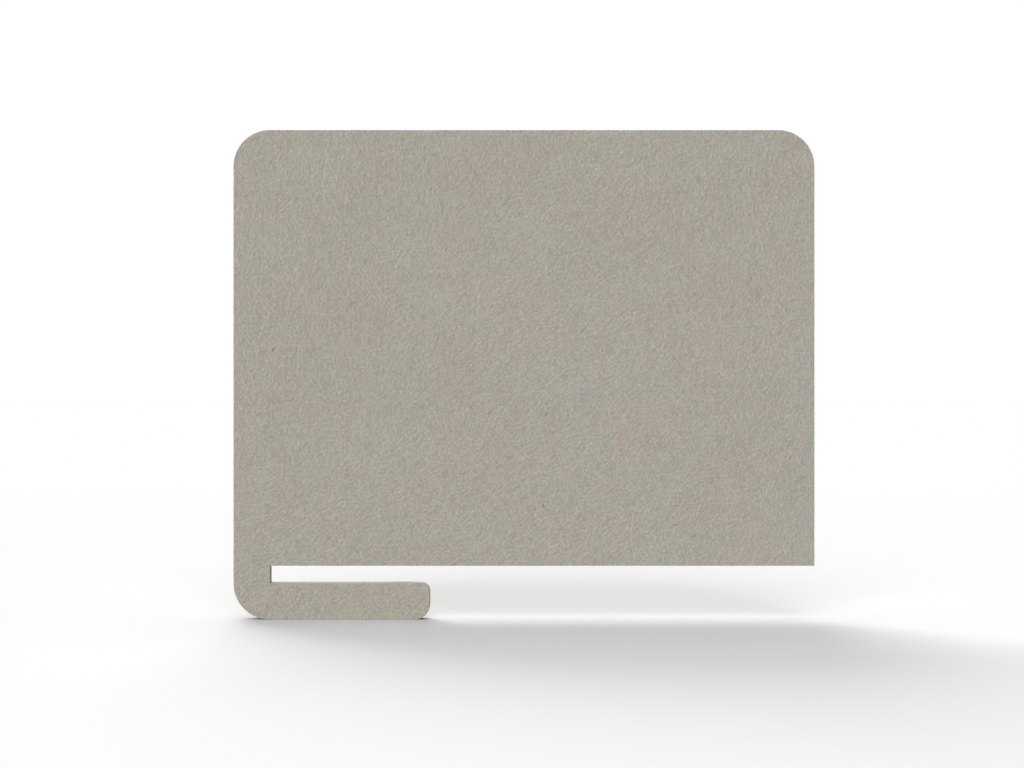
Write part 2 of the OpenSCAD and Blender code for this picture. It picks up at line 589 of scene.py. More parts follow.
# How deep a face's strand sinks at its ends, how much it rides up and down between, and its level
# there, all in half-widths
FACE_SINK, FACE_RIDE, FACE_LEVEL = 0.6, 0.15, -0.05
# Strands in a cut edge: share of the usual length and half-width, spread of their heading, their
# places, and how far their middle rises from their ends, in half-widths
EDGE_LENGTH, EDGE_RADIUS, EDGE_HEADING, EDGE_POINTS, EDGE_RISE = 0.3, 0.55, 0.3, 6, 1.3
# No strand lies over a sharp corner, where the outward direction is longer than this, or where the
# outward directions of its ends have less than this in common
STRAIGHT, SAME_WAY = 1.02, 0.5
# Size of a stray tuft: usual spread, half-length and half-width of its strands
TUFT_SPREAD, TUFT_HALF, TUFT_RADIUS = 0.4 * MM, 1.5 * MM, 0.3 * MM
# How far a tuft spreads ahead and aside, as a share of that spread, and how much its strands turn and
# bend, in radians
TUFT_AHEAD, TUFT_ASIDE, TUFT_TURN, TUFT_BEND = 1.2, 0.6, 0.6, 0.5
# Spread of the logarithm of those strands' half-lengths, their places, how far their middle rises from
# their ends, in half-widths, and the share of that rise that is sunk
TUFT_LENGTHS, TUFT_POINTS, TUFT_RISE, TUFT_LEVEL = 0.2, 6, 0.6, 0.8


def lay_direction(places, rng):
    """Heading of the strands at each place: slanting, and steeper where the lay's bands are strong.

    The spread about it is wide, and some strands lie any way.
    """
    steep = 0.0
    for band in LAY_BANDS:
        strength = 1.0
        for axis, start, end, most in band:
            strength = strength * np.clip((places[:, axis] - start) / (end - start), 0, 1) * most
        steep = steep + strength
    mean = np.radians(LAY_SLANT + LAY_RISE * np.clip(steep, 0, 1))
    heading = mean + rng.normal(0, LAY_SPREAD, len(places))
    stray = rng.random(len(places)) < STRAY_SHARE
    return np.where(stray, rng.uniform(0, np.pi, len(places)), heading)


def varied(rng, middle, spread, shape):
    """Random sizes about a middle one: it times e to the power of a draw with this spread."""
    return middle * np.exp(rng.normal(0, spread, shape))


def tapered(radius, swell):
    """Half-widths of a strand that is thinner where its swell is less, down to TAPER times."""
    return radius * (TAPER + (1 - TAPER) * swell)


def laid_in_face(name, side, x, z, lift, radii, rng, size, finish, material):
    """Strands in one face, with their lines at x and z, lifted over the face's relief."""
    depth = size.board_face + face_relief(x, z, finish, side) + lift
    centres = np.stack([x, side * depth, z], axis=2)
    out = np.broadcast_to(np.array([0.0, side, 0.0]), centres.shape)
    return strands(name, centres, out, radii, rng.random(len(x)), material)


def face_strands(name, side, size, finish, material, seed):
    """Strands in one face: each dips out of the felt at both ends and rides half sunk between."""
    rng = np.random.default_rng(seed)
    hook = Hook(size, FACE_MARGIN * size.arris_radius)
    tries = int(finish.strand_count * SPARE)
    low = np.array([hook.left, hook.levels[0]]) - BEYOND
    high = np.array([hook.right, hook.levels[-1]]) + BEYOND
    lengths = varied(rng, finish.strand_length, FACE_SPREAD[0], tries)
    paths = wandering_paths(rng, tries, low, high, lay_direction, lengths, FACE_BEND, WANDER_STEPS)
    inside = hook.holds(paths[..., 0], paths[..., 1])
    paths = cut_to(inside, paths, STRAND_POINTS, LEAST_STEPS)[: finish.strand_count]
    count = len(paths)
    share = np.linspace(0, 1, paths.shape[1])[None]
    phase, beats = rng.uniform(0, 1, (2, count, 1))
    radius = varied(rng, finish.strand_radius, FACE_SPREAD[1], (count, 1))
    swell = 1 - np.abs(2 * share - 1) ** FACE_FULL
    ride = FACE_RIDE * np.sin(2 * np.pi * (share * (1 + 2 * beats) + phase)) + FACE_LEVEL
    lift = radius * (swell * (FACE_SINK + ride) - FACE_SINK)
    x, z = paths[..., 0], paths[..., 1]
    radii = tapered(radius, swell)
    return laid_in_face(name, side, x, z, lift, radii, rng, size, finish, material)


def tufts(name, side, spots, size, finish, material, seed):
    """Stray tufts pressed into one face: short strands about each spot, most of them at its heading."""
    rng = np.random.default_rng(seed)
    spots = np.repeat(spots, spots[:, 2].astype(int), axis=0)
    count = len(spots)
    lie = np.radians(spots[:, 3:])
    spread = TUFT_SPREAD * np.sqrt(spots[:, 2:3])
    ahead = spread * rng.normal(0, TUFT_AHEAD, (count, 1))
    aside = spread * rng.normal(0, TUFT_ASIDE, (count, 1))
    angle = lie + rng.normal(0, TUFT_TURN, (count, 1))
    share = np.linspace(-1, 1, TUFT_POINTS)[None]
    half = varied(rng, TUFT_HALF, TUFT_LENGTHS, (count, 1))
    bend = rng.normal(0, TUFT_BEND, (count, 1))
    x = spots[:, :1] * MM + ahead * np.cos(lie) - aside * np.sin(lie)
    z = spots[:, 1:2] * MM + ahead * np.sin(lie) + aside * np.cos(lie)
    x = x + half * share * np.cos(angle + bend * share)
    z = z + half * share * np.sin(angle + bend * share)
    swell = 1 - np.abs(share) ** TUFT_FULL
    radii = tapered(TUFT_RADIUS, swell) * np.ones((count, 1))
    lift = TUFT_RISE * TUFT_RADIUS * (swell - TUFT_LEVEL)
    return laid_in_face(name, side, x, z, lift, radii, rng, size, finish, material)


def edge_strands(name, side, size, finish, material, seed):
    """Strands in one board's cut edge, laid along it between the arris and the glue."""
    rng = np.random.default_rng(seed)
    places, outward, run = outline_run(size)
    places = np.vstack([places, places[:1]])
    outward = np.vstack([outward, outward[:1]])
    margin = EDGE_MARGIN * size.arris_radius
    low = np.array([margin, size.board_back + margin])
    high = np.array([run[-1] - margin, size.board_face - margin])
    count = finish.edge_strand_count
    lengths = varied(rng, EDGE_LENGTH * finish.strand_length, EDGE_SPREAD[0], count)

    def heading(centre, rng):
        return rng.normal(0, EDGE_HEADING, len(centre))

    paths = wandering_paths(rng, count, low, high, heading, lengths, EDGE_BEND, EDGE_POINTS)
    paths[..., 0] = paths[..., 0].clip(0, run[-1])
    paths[..., 1] = paths[..., 1].clip(low[1], high[1])
    at = [np.interp(paths[..., 0], run, column) for column in (*places.T, *outward.T)]
    out = np.stack([at[2], np.zeros_like(at[2]), at[3]], axis=2)
    straight = np.linalg.norm(out, axis=2).max(axis=1) < STRAIGHT
    same_way = (out[:, 0] * out[:, -1]).sum(axis=1) > SAME_WAY
    keep = straight & same_way
    radius = varied(rng, EDGE_RADIUS * finish.strand_radius, EDGE_SPREAD[1], (count, 1))
    swell = 1 - np.abs(np.linspace(-1, 1, paths.shape[1])[None]) ** EDGE_FULL
    rough = edge_relief(paths[..., 0], paths[..., 1], finish, side)
    lift = rough + radius * (EDGE_RISE * swell - 1)
    centres = np.stack([at[0], side * paths[..., 1], at[1]], axis=2) + lift[..., None] * out
    radii, tints = tapered(radius, swell), rng.random(count)
    return strands(name, centres[keep], out[keep], radii[keep], tints[keep], material)


def link(source, target):
    """Joins an output socket, or sets a plain value, to an input socket."""
    if isinstance(source, bpy.types.NodeSocket):
        target.id_data.links.new(source, target)
    else:
        target.default_value = source


def new_node(kind, inputs=(), tree=None, **settings):
    """A new shader node with its settings, and its inputs joined or set by their names or numbers.

    It goes into the tree, or else into that of the sockets among its inputs.
    """
    inputs = dict(inputs)
    if tree is None:
        tree = next(value.id_data for value in inputs.values() if isinstance(value, bpy.types.NodeSocket))
    node = tree.nodes.new(f"ShaderNode{kind}")
    for key, value in settings.items():
        setattr(node, key, value)
    for key, value in inputs.items():
        link(value, node.inputs[key])
    return node


def maths(operation, *values):
    """Output of a Math node."""
    return new_node("Math", enumerate(values), operation=operation).outputs[0]


def vector_maths(operation, *values):
    """Output of a Vector Math node."""
    return new_node("VectorMath", enumerate(values), operation=operation).outputs[0]


def blend(share, first, second):
    """Colour that runs from first to second as share goes from 0 to 1."""
    inputs = {"Factor": share, "A": first, "B": second}
    return new_node("Mix", inputs, data_type="RGBA").outputs["Result"]


def rescale(value, low, high, to_low, to_high, smooth=False):
    """Output of a Map Range node."""
    kind = "SMOOTHSTEP" if smooth else "LINEAR"
    inputs = enumerate((value, low, high, to_low, to_high))
    return new_node("MapRange", inputs, interpolation_type=kind).outputs[0]


def new_group(name, inputs, outputs):
    """A shader node group, and its input and output sockets by name.

    inputs gives a number for each that is one, or None for a place. outputs gives each one's kind.
    """
    tree = bpy.data.node_groups.new(name, "ShaderNodeTree")
    for label, default in inputs.items():
        kind = "NodeSocketVector" if default is None else "NodeSocketFloat"
        socket = tree.interface.new_socket(label, in_out="INPUT", socket_type=kind)
        if default is not None:
            socket.default_value = default
    for label, kind in outputs.items():
        tree.interface.new_socket(label, in_out="OUTPUT", socket_type=f"NodeSocket{kind}")
    return tree, tree.nodes.new("NodeGroupInput").outputs, tree.nodes.new("NodeGroupOutput").inputs


def strand_layer_group():
    """Group of one layer of pressed strands on a plane.

    The plane is turned by Angle and shrunk by Length and Width, and split into cells about random
    points. Cover is 1 in a cell and 0 at its rim, and Ridge falls evenly from the cell's point to its
    rim. Shade and Hue are random per cell. The thread is a light line along the cell, with painted
    shadow as a dark flank on both sides, (1 - 4 x * x) (1 - q) exp(-q / 2) at x along it and
    q = (y / THREAD_MIDDLE) squared across it, so that it is neither lighter nor darker than the felt as
    a whole.
    """
    tree, given, put = new_group(
        "felt_strand_layer",
        {"Vector": None, "Angle": 0.0, "Length": 0.03, "Width": 0.002},
        dict.fromkeys(("Cover", "Ridge", "Shade", "Hue", "Thread"), "Float"),
    )
    back = maths("MULTIPLY", given["Angle"], -1.0)
    inputs = {"Vector": given["Vector"], "Angle": back}
    turned = new_node("VectorRotate", inputs, rotation_type="Z_AXIS")
    scale = new_node("CombineXYZ", enumerate((given["Length"], given["Width"], 1)))
    shrunk = vector_maths("DIVIDE", turned.outputs[0], scale.outputs[0])
    cells = new_node("TexVoronoi", {"Vector": shrunk, "Scale": 1}, voronoi_dimensions="2D")
    distance = cells.outputs["Distance"]
    link(rescale(distance, COVER_FROM, CELL_RIM, 1, 0, smooth=True), put["Cover"])
    link(rescale(distance, 0.0, CELL_RIM, 1, 0), put["Ridge"])
    draws = new_node("SeparateColor", {0: cells.outputs["Color"]})
    link(draws.outputs[0], put["Shade"])
    link(draws.outputs[1], put["Hue"])
    from_point = vector_maths("SUBTRACT", shrunk, cells.outputs["Position"])
    own = new_node("SeparateXYZ", {0: from_point})
    along, across = own.outputs[0], maths("DIVIDE", own.outputs[1], THREAD_MIDDLE)
    taper = maths("MULTIPLY_ADD", maths("MULTIPLY", along, along), -4.0, 1.0)
    squared = maths("MULTIPLY", across, across)
    fall = maths("EXPONENT", maths("MULTIPLY", squared, -0.5))
    profile = maths("MULTIPLY", maths("SUBTRACT", 1.0, squared), fall)
    link(maths("MULTIPLY", maths("MAXIMUM", taper, 0.0), profile), put["Thread"])
    return tree


def strand_colour_group(finish):
    """Group that gives a strand's colour: its hue from a row of dyed fibres, times its shade."""
    tree, given, put = new_group(
        "strand_colour", {"Shade": 0.5, "Hue": 0.5, "Contrast": 0.5}, {"Colour": "Color"}
    )
    ramp = new_node("ValToRGB", {0: given["Hue"]})
    elements = ramp.color_ramp.elements
    hues = (finish.cool, finish.green, finish.ground, finish.warm, finish.rosy)
    while len(elements) < len(hues):
        elements.new(0.5)
    for step, (element, colour) in enumerate(zip(elements, hues)):
        element.position = step / (len(hues) - 1)
        element.color = (*colour, 1)
    centred = maths("SUBTRACT", given["Shade"], 0.5)
    factor = maths("MULTIPLY_ADD", centred, given["Contrast"], 1.0)
    link(vector_maths("MULTIPLY", ramp.outputs[0], factor), put["Colour"])
    return tree


def noise(vector, scale, detail, output="Fac", dimensions="2D"):
    """Output of a Noise Texture node."""
    inputs = {"Vector": vector, "Scale": scale, "Detail": detail}
    return new_node("TexNoise", inputs, noise_dimensions=dimensions).outputs[output]


# Where a cell of a strand layer starts to fade, and where its rim is, as shares of its size
COVER_FROM, CELL_RIM = 0.45, 0.7
# Fine grain over the strands: pitch in millimetres, angle in degrees, how much it follows the angle,
# and its part in the light and dark
GRAIN = (
    (6.0, 60, 0.65, 0.6),
    (5.5, 102, 0.5, 0.45),
    (6.2, 28, 0.5, 0.55),
)
# Waves in each grain's patch, which keeps its pitch the truer the more there are
GRAIN_WAVES = 1.5
# How far, in radians, the grain turns from where the lay slants to where it is steep
LAY_TURN = 1.1
# How much lighter the grain's ridges are than its hollows, and its share of the bump's height
GRAIN_LIGHT, GRAIN_HEIGHT = 0.315, 0.5

# Stray tufts in the front face: x and z in millimetres, number of strands, and heading in degrees
FLECKS = ((5.4, 297.8, 18, 60), (376.6, 82.5, 20, 90), (602.2, 153.9, 4, 90), (647.2, 126.6, 3, 0))
SPECKS = ((112.9, 362.5, 3, 90), (380.2, 208.8, 4, 80), (585.1, 41.1, 5, 120), (558.7, 56.1, 7, 5))
# How much closer together the rear face has its own
REAR_SPOTS = 0.9

# Layers of strands in the felt, the deepest first: angle in degrees, length and width in
# millimetres, opacity, and whether the layer is strong where the lay is steep (1) or slants (-1)
STRAND_LAYERS = (
    (100, 9, 4.4, 0.60, 1),
    (20, 9, 4.4, 0.60, -1),
    (60, 8, 4.2, 0.65, 0),
    (150, 8, 4.2, 0.50, 0),
    (82, 8, 3.8, 0.70, 1),
    (40, 8, 3.8, 0.70, -1),
    (65, 7, 3.6, 0.60, 0),
    (125, 7, 3.6, 0.50, 0),
    (50, 6, 2.2, 0.35, 0),
    (110, 6, 2.2, 0.30, 0),
    (75, 6, 1.8, 0.30, 0),
)

# Fine long threads on top of the layers, light lines with painted shadow at their sides: angle in
# degrees, length and width in millimetres, and whether they are strong where the lay is steep (1) or
# slants (-1)
THREADS = (
    (3, 58, 6.8, 0),
    (18, 62, 6.6, 0),
    (35, 66, 6.5, -1),
    (50, 56, 6.8, -1),
    (65, 68, 6.4, 0),
    (80, 62, 6.8, 1),
    (92, 66, 6.5, 1),
    (102, 58, 6.5, 0),
    (130, 64, 6.8, 0),
    (45, 62, 6.6, 0),
)
# How much lighter the lightest of them are than the felt, which sets the painted shadow at their sides
# in step, and the draw up to which they don't show
THREAD_LIGHT, THREAD_DRAW = 0.09, 0.3
# Half-width of their light middle, as a share of their cell's width
THREAD_MIDDLE = 0.18

# How far the strands' hues shift from patch to patch
HUE_PATCH = 0.08
# How far the ground between the strands runs towards green and rosy from patch to patch
GROUND_PATCH = 0.45
# How much lighter and darker the felt gets from patch to patch, and how many patches to a metre
MOTTLE_LIGHT = 0.012
MOTTLE_SCALE = 5
# How much darker the rosy patches are than the green ones
BLUSH_DARK = 0.006
# How much the strands of a face differ in shade
FACE_CONTRAST = 0.365
# Painted shade and highlight: how much lighter a strand's raised ridge is than its rim, so that the
# hollows between the strands are painted darker
RIDGE_PAINTED_LIGHT = 0.53
# How far, in millimetres, broad and fine waves bend the layers, and how many waves to a metre
WARP, WARP_SCALE = (14, 3), (14, 60)
# Patches to a metre that differ in hue, how far they lie from the lighter and darker ones, in metres,
# and the part of a cloudy noise's range that all of them use
BLUSH_SCALE, BLUSH_SHIFT, CLOUDS = 9, (3.1, 1.7, 0), (0.3, 0.7)
# How far apart, in metres, the strand layers and the threads take their patterns
LAYER_SHIFT, THREAD_SHIFT = (0.37, 0.73), (0.51, 0.29)
# How far along, in metres, the rear face takes its felt, so that it isn't the front's seen in a mirror
REAR_SHIFT = 1.3
# Middle of a noise's colour
HALF = (0.5, 0.5, 0.5)
# How the felt's layers lie where it is cut, and the strength and depth of its bump
EDGE_LAYERS = {"Spread": 0.15, "Size": 0.4, "Contrast": 0.9}
BUMP_STRENGTH, BUMP_DEPTH = 0.35, 0.3 * MM
# A loose strand's shade is the power of a second draw, plus a floor. Its tint, times the last number
# and without its whole part, is that draw
SHADE_POWER, SHADE_FLOOR, SHADE_DRAW = 4.0, 0.3, 17.3
# How much the loose strands differ in shade
STRAND_CONTRAST = 0.6
# How many times lighter and darker a tuft gets along its strands, and what is added where it's lighter
TUFT_PALE, TUFT_DEEP, TUFT_LEAST = 1.3, 0.75, 0.02
# Melted film where it is thin and thick, and its roughness there
FILM_COLOURS, FILM_ROUGHNESS = ((0.34, 0.32, 0.28, 1), (0.55, 0.53, 0.47, 1)), (0.35, 0.6)


def felt_group(finish):
    """Group of the whole pressed felt: layers of strands over a mottled ground.

    Vector is a place on the plane in metres, Spread scales the layers' angles, and Size the strands.
    Steep is 1 where the lay is steep and 0 where it slants, and Light is how many times lighter the
    felt is. The group gives the felt's Colour, and its Height for a bump. The colour has painted shade:
    it is darker where the height is low, between the strands, and each thread has painted shadow at
    its sides.
    """
    layer_group, colour_group = strand_layer_group(), strand_colour_group(finish)
    numbers = {"Spread": 1.0, "Size": 1.0, "Steep": 0.5, "Contrast": 0.5, "Light": 1.0}
    tree, given, put = new_group(
        "pressed_felt", {"Vector": None, **numbers}, {"Colour": "Color", "Height": "Float"}
    )
    slanted = maths("SUBTRACT", 1.0, given["Steep"])

    def bent(place, scale, reach):
        wave = vector_maths("SUBTRACT", noise(given["Vector"], scale, 1, "Color"), HALF)
        return vector_maths("MULTIPLY_ADD", wave, (reach * MM, reach * MM, 0), place)

    def layer(place, step, shift, angle, length, width):
        shifted = vector_maths("ADD", place, (shift[0] * step, shift[1] * step, 0))
        inputs = {
            "Vector": shifted,
            "Angle": maths("MULTIPLY", given["Spread"], float(np.radians(angle))),
            "Length": maths("MULTIPLY", given["Size"], length * MM),
            "Width": maths("MULTIPLY", given["Size"], width * MM),
        }
        return new_node("Group", inputs, node_tree=layer_group).outputs

    def by_lay(value, lay):
        if lay == 0:
            return value
        return maths("MULTIPLY", value, given["Steep"] if lay > 0 else slanted)

    swept = bent(given["Vector"], WARP_SCALE[0], WARP[0])
    place = bent(swept, WARP_SCALE[1], WARP[1])
    mottle = noise(given["Vector"], MOTTLE_SCALE, detail=6)
    blush = noise(vector_maths("ADD", given["Vector"], BLUSH_SHIFT), BLUSH_SCALE, detail=4)
    hue_shift = rescale(blush, *CLOUDS, -HUE_PATCH, HUE_PATCH)
    ground = Vector(finish.ground)
    green, rosy = (ground.lerp(Vector(colour), GROUND_PATCH) for colour in (finish.green, finish.rosy))
    colour = blend(rescale(blush, *CLOUDS, 0, 1), (*green, 1), (*rosy, 1))
    height = mottle
    for step, (angle, length, width, opacity, lay) in enumerate(STRAND_LAYERS):
        strand = layer(place, step, LAYER_SHIFT, angle, length, width)
        hue = maths("ADD", strand["Hue"], hue_shift)
        inputs = {"Shade": strand["Shade"], "Hue": hue, "Contrast": given["Contrast"]}
        tint = new_node("Group", inputs, node_tree=colour_group)
        weight = by_lay(maths("MULTIPLY", strand["Cover"], opacity), lay)
        colour = blend(weight, colour, tint.outputs[0])
        change = maths("SUBTRACT", strand["Ridge"], height)
        height = maths("MULTIPLY_ADD", weight, change, height)
    # Painted shade: the felt is lighter where the bump's height is high and darker in the hollows
    light = rescale(height, 0, 1, 1 - RIDGE_PAINTED_LIGHT / 2, 1 + RIDGE_PAINTED_LIGHT / 2)
    grain = 0.0
    lean = maths("MULTIPLY_ADD", given["Steep"], LAY_TURN, -LAY_TURN / 2)
    for pitch, angle, follow, part in GRAIN:
        inputs = {
            "Vector": place,
            "Scale": 1 / (pitch * MM) / GRAIN_WAVES,
            "Frequency": GRAIN_WAVES,
            "Anisotropy": follow,
            "Orientation": maths("ADD", lean, float(np.radians(angle + 90))),
        }
        band = new_node("TexGabor", inputs, gabor_type="2D")
        centred = maths("SUBTRACT", band.outputs["Value"], 0.5)
        grain = maths("MULTIPLY_ADD", centred, part, grain)
    light = maths("MULTIPLY_ADD", grain, GRAIN_LIGHT, light)
    # Threads: light lines, each with painted shadow along both sides
    for step, (angle, length, width, lay) in enumerate(THREADS):
        thread = layer(swept, step, THREAD_SHIFT, angle, length, width)
        bright = by_lay(rescale(thread["Shade"], THREAD_DRAW, 1, 0, THREAD_LIGHT), lay)
        light = maths("MULTIPLY_ADD", thread["Thread"], bright, light)
    light = maths("ADD", light, rescale(mottle, *CLOUDS, -MOTTLE_LIGHT, MOTTLE_LIGHT))
    light = maths("ADD", light, rescale(blush, *CLOUDS, BLUSH_DARK, -BLUSH_DARK))
    light = maths("MULTIPLY", light, given["Light"])
    link(vector_maths("MULTIPLY", colour, light), put["Colour"])
    link(maths("MULTIPLY_ADD", grain, GRAIN_HEIGHT, height), put["Height"])
    return tree


def new_material(name, roughness, sheen=0.0, specular=0.2):
    """A material with a rough Principled shader, its tree and the shader's inputs."""
    material = bpy.data.materials.new(name)
    material.use_nodes = True
    tree = material.node_tree
    shader = tree.nodes["Principled BSDF"].inputs
    shader["Roughness"].default_value = roughness
    shader["Specular IOR Level"].default_value = specular
    shader["Sheen Weight"].default_value = sheen
    shader["Sheen Roughness"].default_value = 0.6
    return material, tree, shader


def object_place(tree):
    """Place on the object, in its own coordinates."""
    return new_node("TexCoord", tree=tree).outputs["Object"]


def felt_material(name, felt, finish, on_edge):
    """Pressed felt. A face reads its place from object coordinates, and a cut edge from the UV map.

    On a face, x and z set the share by which the lay is steep, as in the loose strands.
    """
    material, tree, shader = new_material(name, roughness=0.92, sheen=0.1)
    if on_edge:
        uv = new_node("UVMap", tree=tree, uv_map="felt")
        # A cut edge is painted lighter, partly for its cut fibres and partly as painted light on the arm's
        # top face
        inputs = {"Vector": uv.outputs[0], "Light": finish.edge_fibre_and_painted_light, **EDGE_LAYERS}
    else:
        x, y, z = new_node("SeparateXYZ", {0: object_place(tree)}).outputs
        at_rear = maths("GREATER_THAN", y, 0.0)
        shifted = maths("MULTIPLY_ADD", at_rear, REAR_SHIFT, x)
        joined = new_node("CombineXYZ", {0: shifted, 1: z})
        steep = 0.0
        for band in LAY_BANDS:
            strength = 1.0
            for axis, start, end, most in band:
                ramp = rescale((x, z)[axis], start, end, 0, most)
                strength = maths("MULTIPLY", ramp, strength)
            steep = maths("ADD", strength, steep)
        steep = maths("MINIMUM", steep, 1.0)
        inputs = {"Vector": joined.outputs[0], "Steep": steep, "Contrast": FACE_CONTRAST}
    node = new_node("Group", inputs, node_tree=felt)
    link(node.outputs["Colour"], shader["Base Color"])
    inputs = {"Strength": BUMP_STRENGTH, "Distance": BUMP_DEPTH, "Height": node.outputs["Height"]}
    link(new_node("Bump", inputs).outputs[0], shader["Normal"])
    return material


def strand_material(name, light):
    """Loose strands: one hue and one shade a strand, from the strand's attribute, times a lightness.

    The shade is a high power of an even draw, so that a few strands are much lighter than the rest.
    """
    material, tree, shader = new_material(name, roughness=0.8, sheen=0.15)
    tint = new_node("Attribute", tree=tree, attribute_name="tint").outputs["Fac"]
    draw = maths("FRACT", maths("MULTIPLY", tint, SHADE_DRAW))
    shade = maths("ADD", maths("POWER", draw, SHADE_POWER), SHADE_FLOOR)
    inputs = {"Hue": tint, "Shade": shade, "Contrast": STRAND_CONTRAST}
    group = bpy.data.node_groups["strand_colour"]
    colour = new_node("Group", inputs, node_tree=group).outputs[0]
    link(vector_maths("MULTIPLY", colour, (light, light, light)), shader["Base Color"])
    return material


def tuft_material(name, colour):
    """Stray tuft of another fibre: one dye, lighter and darker along its strands."""
    material, tree, shader = new_material(name, roughness=0.85, sheen=0.1)
    clouds = noise(object_place(tree), scale=1800, detail=2, dimensions="3D")
    pale = [min(1, TUFT_PALE * c + TUFT_LEAST) for c in colour]
    deep = [TUFT_DEEP * c for c in colour]
    link(blend(clouds, (*deep, 1), (*pale, 1)), shader["Base Color"])
    return material


def film_material():
    """Melted film: cloudy pale resin with felt drawn into it."""
    material, tree, shader = new_material("melted_film", roughness=0.45)
    clouds = noise(object_place(tree), scale=180, detail=3, dimensions="3D")
    link(blend(clouds, *FILM_COLOURS), shader["Base Color"])
    link(rescale(clouds, *CLOUDS, *FILM_ROUGHNESS), shader["Roughness"])
    return material


class BoardsOperator(bpy.types.Operator):
    """Build both felt boards over their construction"""

    bl_idname = "desk_screen.boards"
    bl_label = "Felt Boards"

    def execute(self, context):
        size, finish = context.scene.screen_sizes, context.scene.felt_finish
        felt = felt_group(finish)
        materials = [
            felt_material("pressed_face", felt, finish, on_edge=False),
            felt_material("cut_edge", felt, finish, on_edge=True),
        ]
        for node, side in SIDES.items():
            piece = felt_board(f"{node}_felt", side, size, finish, materials)
            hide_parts(node)
        return {"FINISHED"}


class FilmOperator(bpy.types.Operator):
    """Give the film between the boards its finish"""

    bl_idname = "desk_screen.film"
    bl_label = "Bond Film"

    def execute(self, context):
        mesh = frame["nodes"][FILM].data
        mesh.materials.clear()
        mesh.materials.append(film_material())
        return {"FINISHED"}


class StrandsOperator(bpy.types.Operator):
    """Lay loose strands in the faces and the cut edges"""

    bl_idname = "desk_screen.strands"
    bl_label = "Loose Strands"

    def execute(self, context):
        size, finish = context.scene.screen_sizes, context.scene.felt_finish
        in_face = strand_material("face_strands", 1.0)
        # The edge strands take the cut edge's lightness, which is partly painted light
        in_edge = strand_material("edge_strands", finish.edge_fibre_and_painted_light)
        for place, side in (("front", -1), ("rear", 1)):
            for half in (1, 2):
                seed = finish.seed + 100 * half + side
                face_strands(f"{place}_face_strands_{half}", side, size, finish, in_face, seed)
            edge_strands(f"{place}_edge_strands", side, size, finish, in_edge, finish.seed + 300 + side)
        return {"FINISHED"}


class TuftsOperator(bpy.types.Operator):
    """Set the stray orange and dark tufts in the faces"""

    bl_idname = "desk_screen.tufts"
    bl_label = "Stray Tufts"

    def execute(self, context):
        size, finish = context.scene.screen_sizes, context.scene.felt_finish
        kinds = (
            ("orange", tuft_material("orange_fibre", finish.fleck), FLECKS),
            ("dark", tuft_material("dark_fibre", finish.speck), SPECKS),
        )
        for place, side in (("front", -1), ("rear", 1)):
            for step, (kind, material, spots) in enumerate(kinds):
                spots = np.array(spots, float)
                if side > 0:
                    # The rear face has its own tufts, which lie elsewhere
                    far_corner = np.array([size.length - 2 * size.leg_width, size.height]) / MM
                    spots[:, :2] = far_corner - REAR_SPOTS * spots[:, :2]
                seed = finish.seed + 500 + 10 * step + side
                tufts(f"{place}_{kind}_tufts", side, spots, size, finish, material, seed)
        return {"FINISHED"}


# The studio's floor reaches this far each way, in metres, and gets a little lighter from the first
# distance to the second, so that it ends in the white surround without a line
FLOOR_HALF, FLOOR_FADE, FAR_FLOOR = 40.0, (1.5, 4.5), 1.018
# A grey card lies under the arm: how far past it and past the faces, how deep, and how light
CARD_PAST, CARD_LIP, CARD_DEPTH, CARD_GREY = 0.04, 0.003, 0.05 * MM, (0.25, 0.25, 0.25, 1)
# Azimuth from the front, turning to the right, elevation, spread and strength of each light
LAMPS = (
    ("back_key", 198.5, 35.1, 42, 2.82),
    ("front_fill", 356, 40, 42, 1.695),
    ("top_back", 180, 75, 40, 0.76),
    ("top_fill", 60, 80, 75, 0.79),
)
# How narrowly the light from below comes from the front and the back
BOUNCE_POWER = 16
# Where the camera stands along the screen, and its height over the desktop's top face
CAMERA_X, CAMERA_Z = 0.3335, 0.2503


def flat_sheet(name, left, right, near, far, z, material):
    """A flat rectangle of the studio, which faces up."""
    mesh = bpy.data.meshes.new(name)
    corners = [(left, near, z), (right, near, z), (right, far, z), (left, far, z)]
    mesh.from_pydata(corners, [], [(0, 1, 2, 3)])
    mesh.materials.append(material)
    sheet = bpy.data.objects.new(name, mesh)
    bpy.context.scene.collection.objects.link(sheet)
    return sheet


def floor_material(colour):
    """Pale matt floor, a little lighter far away."""
    material, tree, shader = new_material("studio_floor", roughness=1.0, specular=0.0)
    away = new_node("VectorMath", {0: object_place(tree)}, operation="LENGTH")
    fade = rescale(away.outputs["Value"], *FLOOR_FADE, 0, 1, smooth=True)
    far_colour = [FAR_FLOOR * c for c in colour]
    link(blend(fade, (*colour, 1), (*far_colour, 1)), shader["Base Color"])
    return material


def surround(bounce):
    """White to the camera. To the object it is dark, but for pale light from below.

    That light is bounce times y to the power of BOUNCE_POWER, for a direction with y from 0 to 1.
    """
    world = bpy.data.worlds.new("studio_surround")
    world.use_nodes = True
    tree = world.node_tree
    background = tree.nodes["Background"].inputs
    background["Color"].default_value = (1, 1, 1, 1)
    heading = new_node("TexCoord", tree=tree).outputs["Generated"]
    split = new_node("SeparateXYZ", {0: heading})
    below = maths("LESS_THAN", split.outputs[2], 0.0)
    ahead = maths("POWER", maths("ABSOLUTE", split.outputs[1]), BOUNCE_POWER)
    glow = maths("MULTIPLY", maths("MULTIPLY", below, ahead), bounce)
    seen = new_node("LightPath", tree=tree).outputs["Is Camera Ray"]
    strength = maths("MULTIPLY_ADD", maths("SUBTRACT", 1, seen), glow, seen)
    link(strength, background["Strength"])
    return world


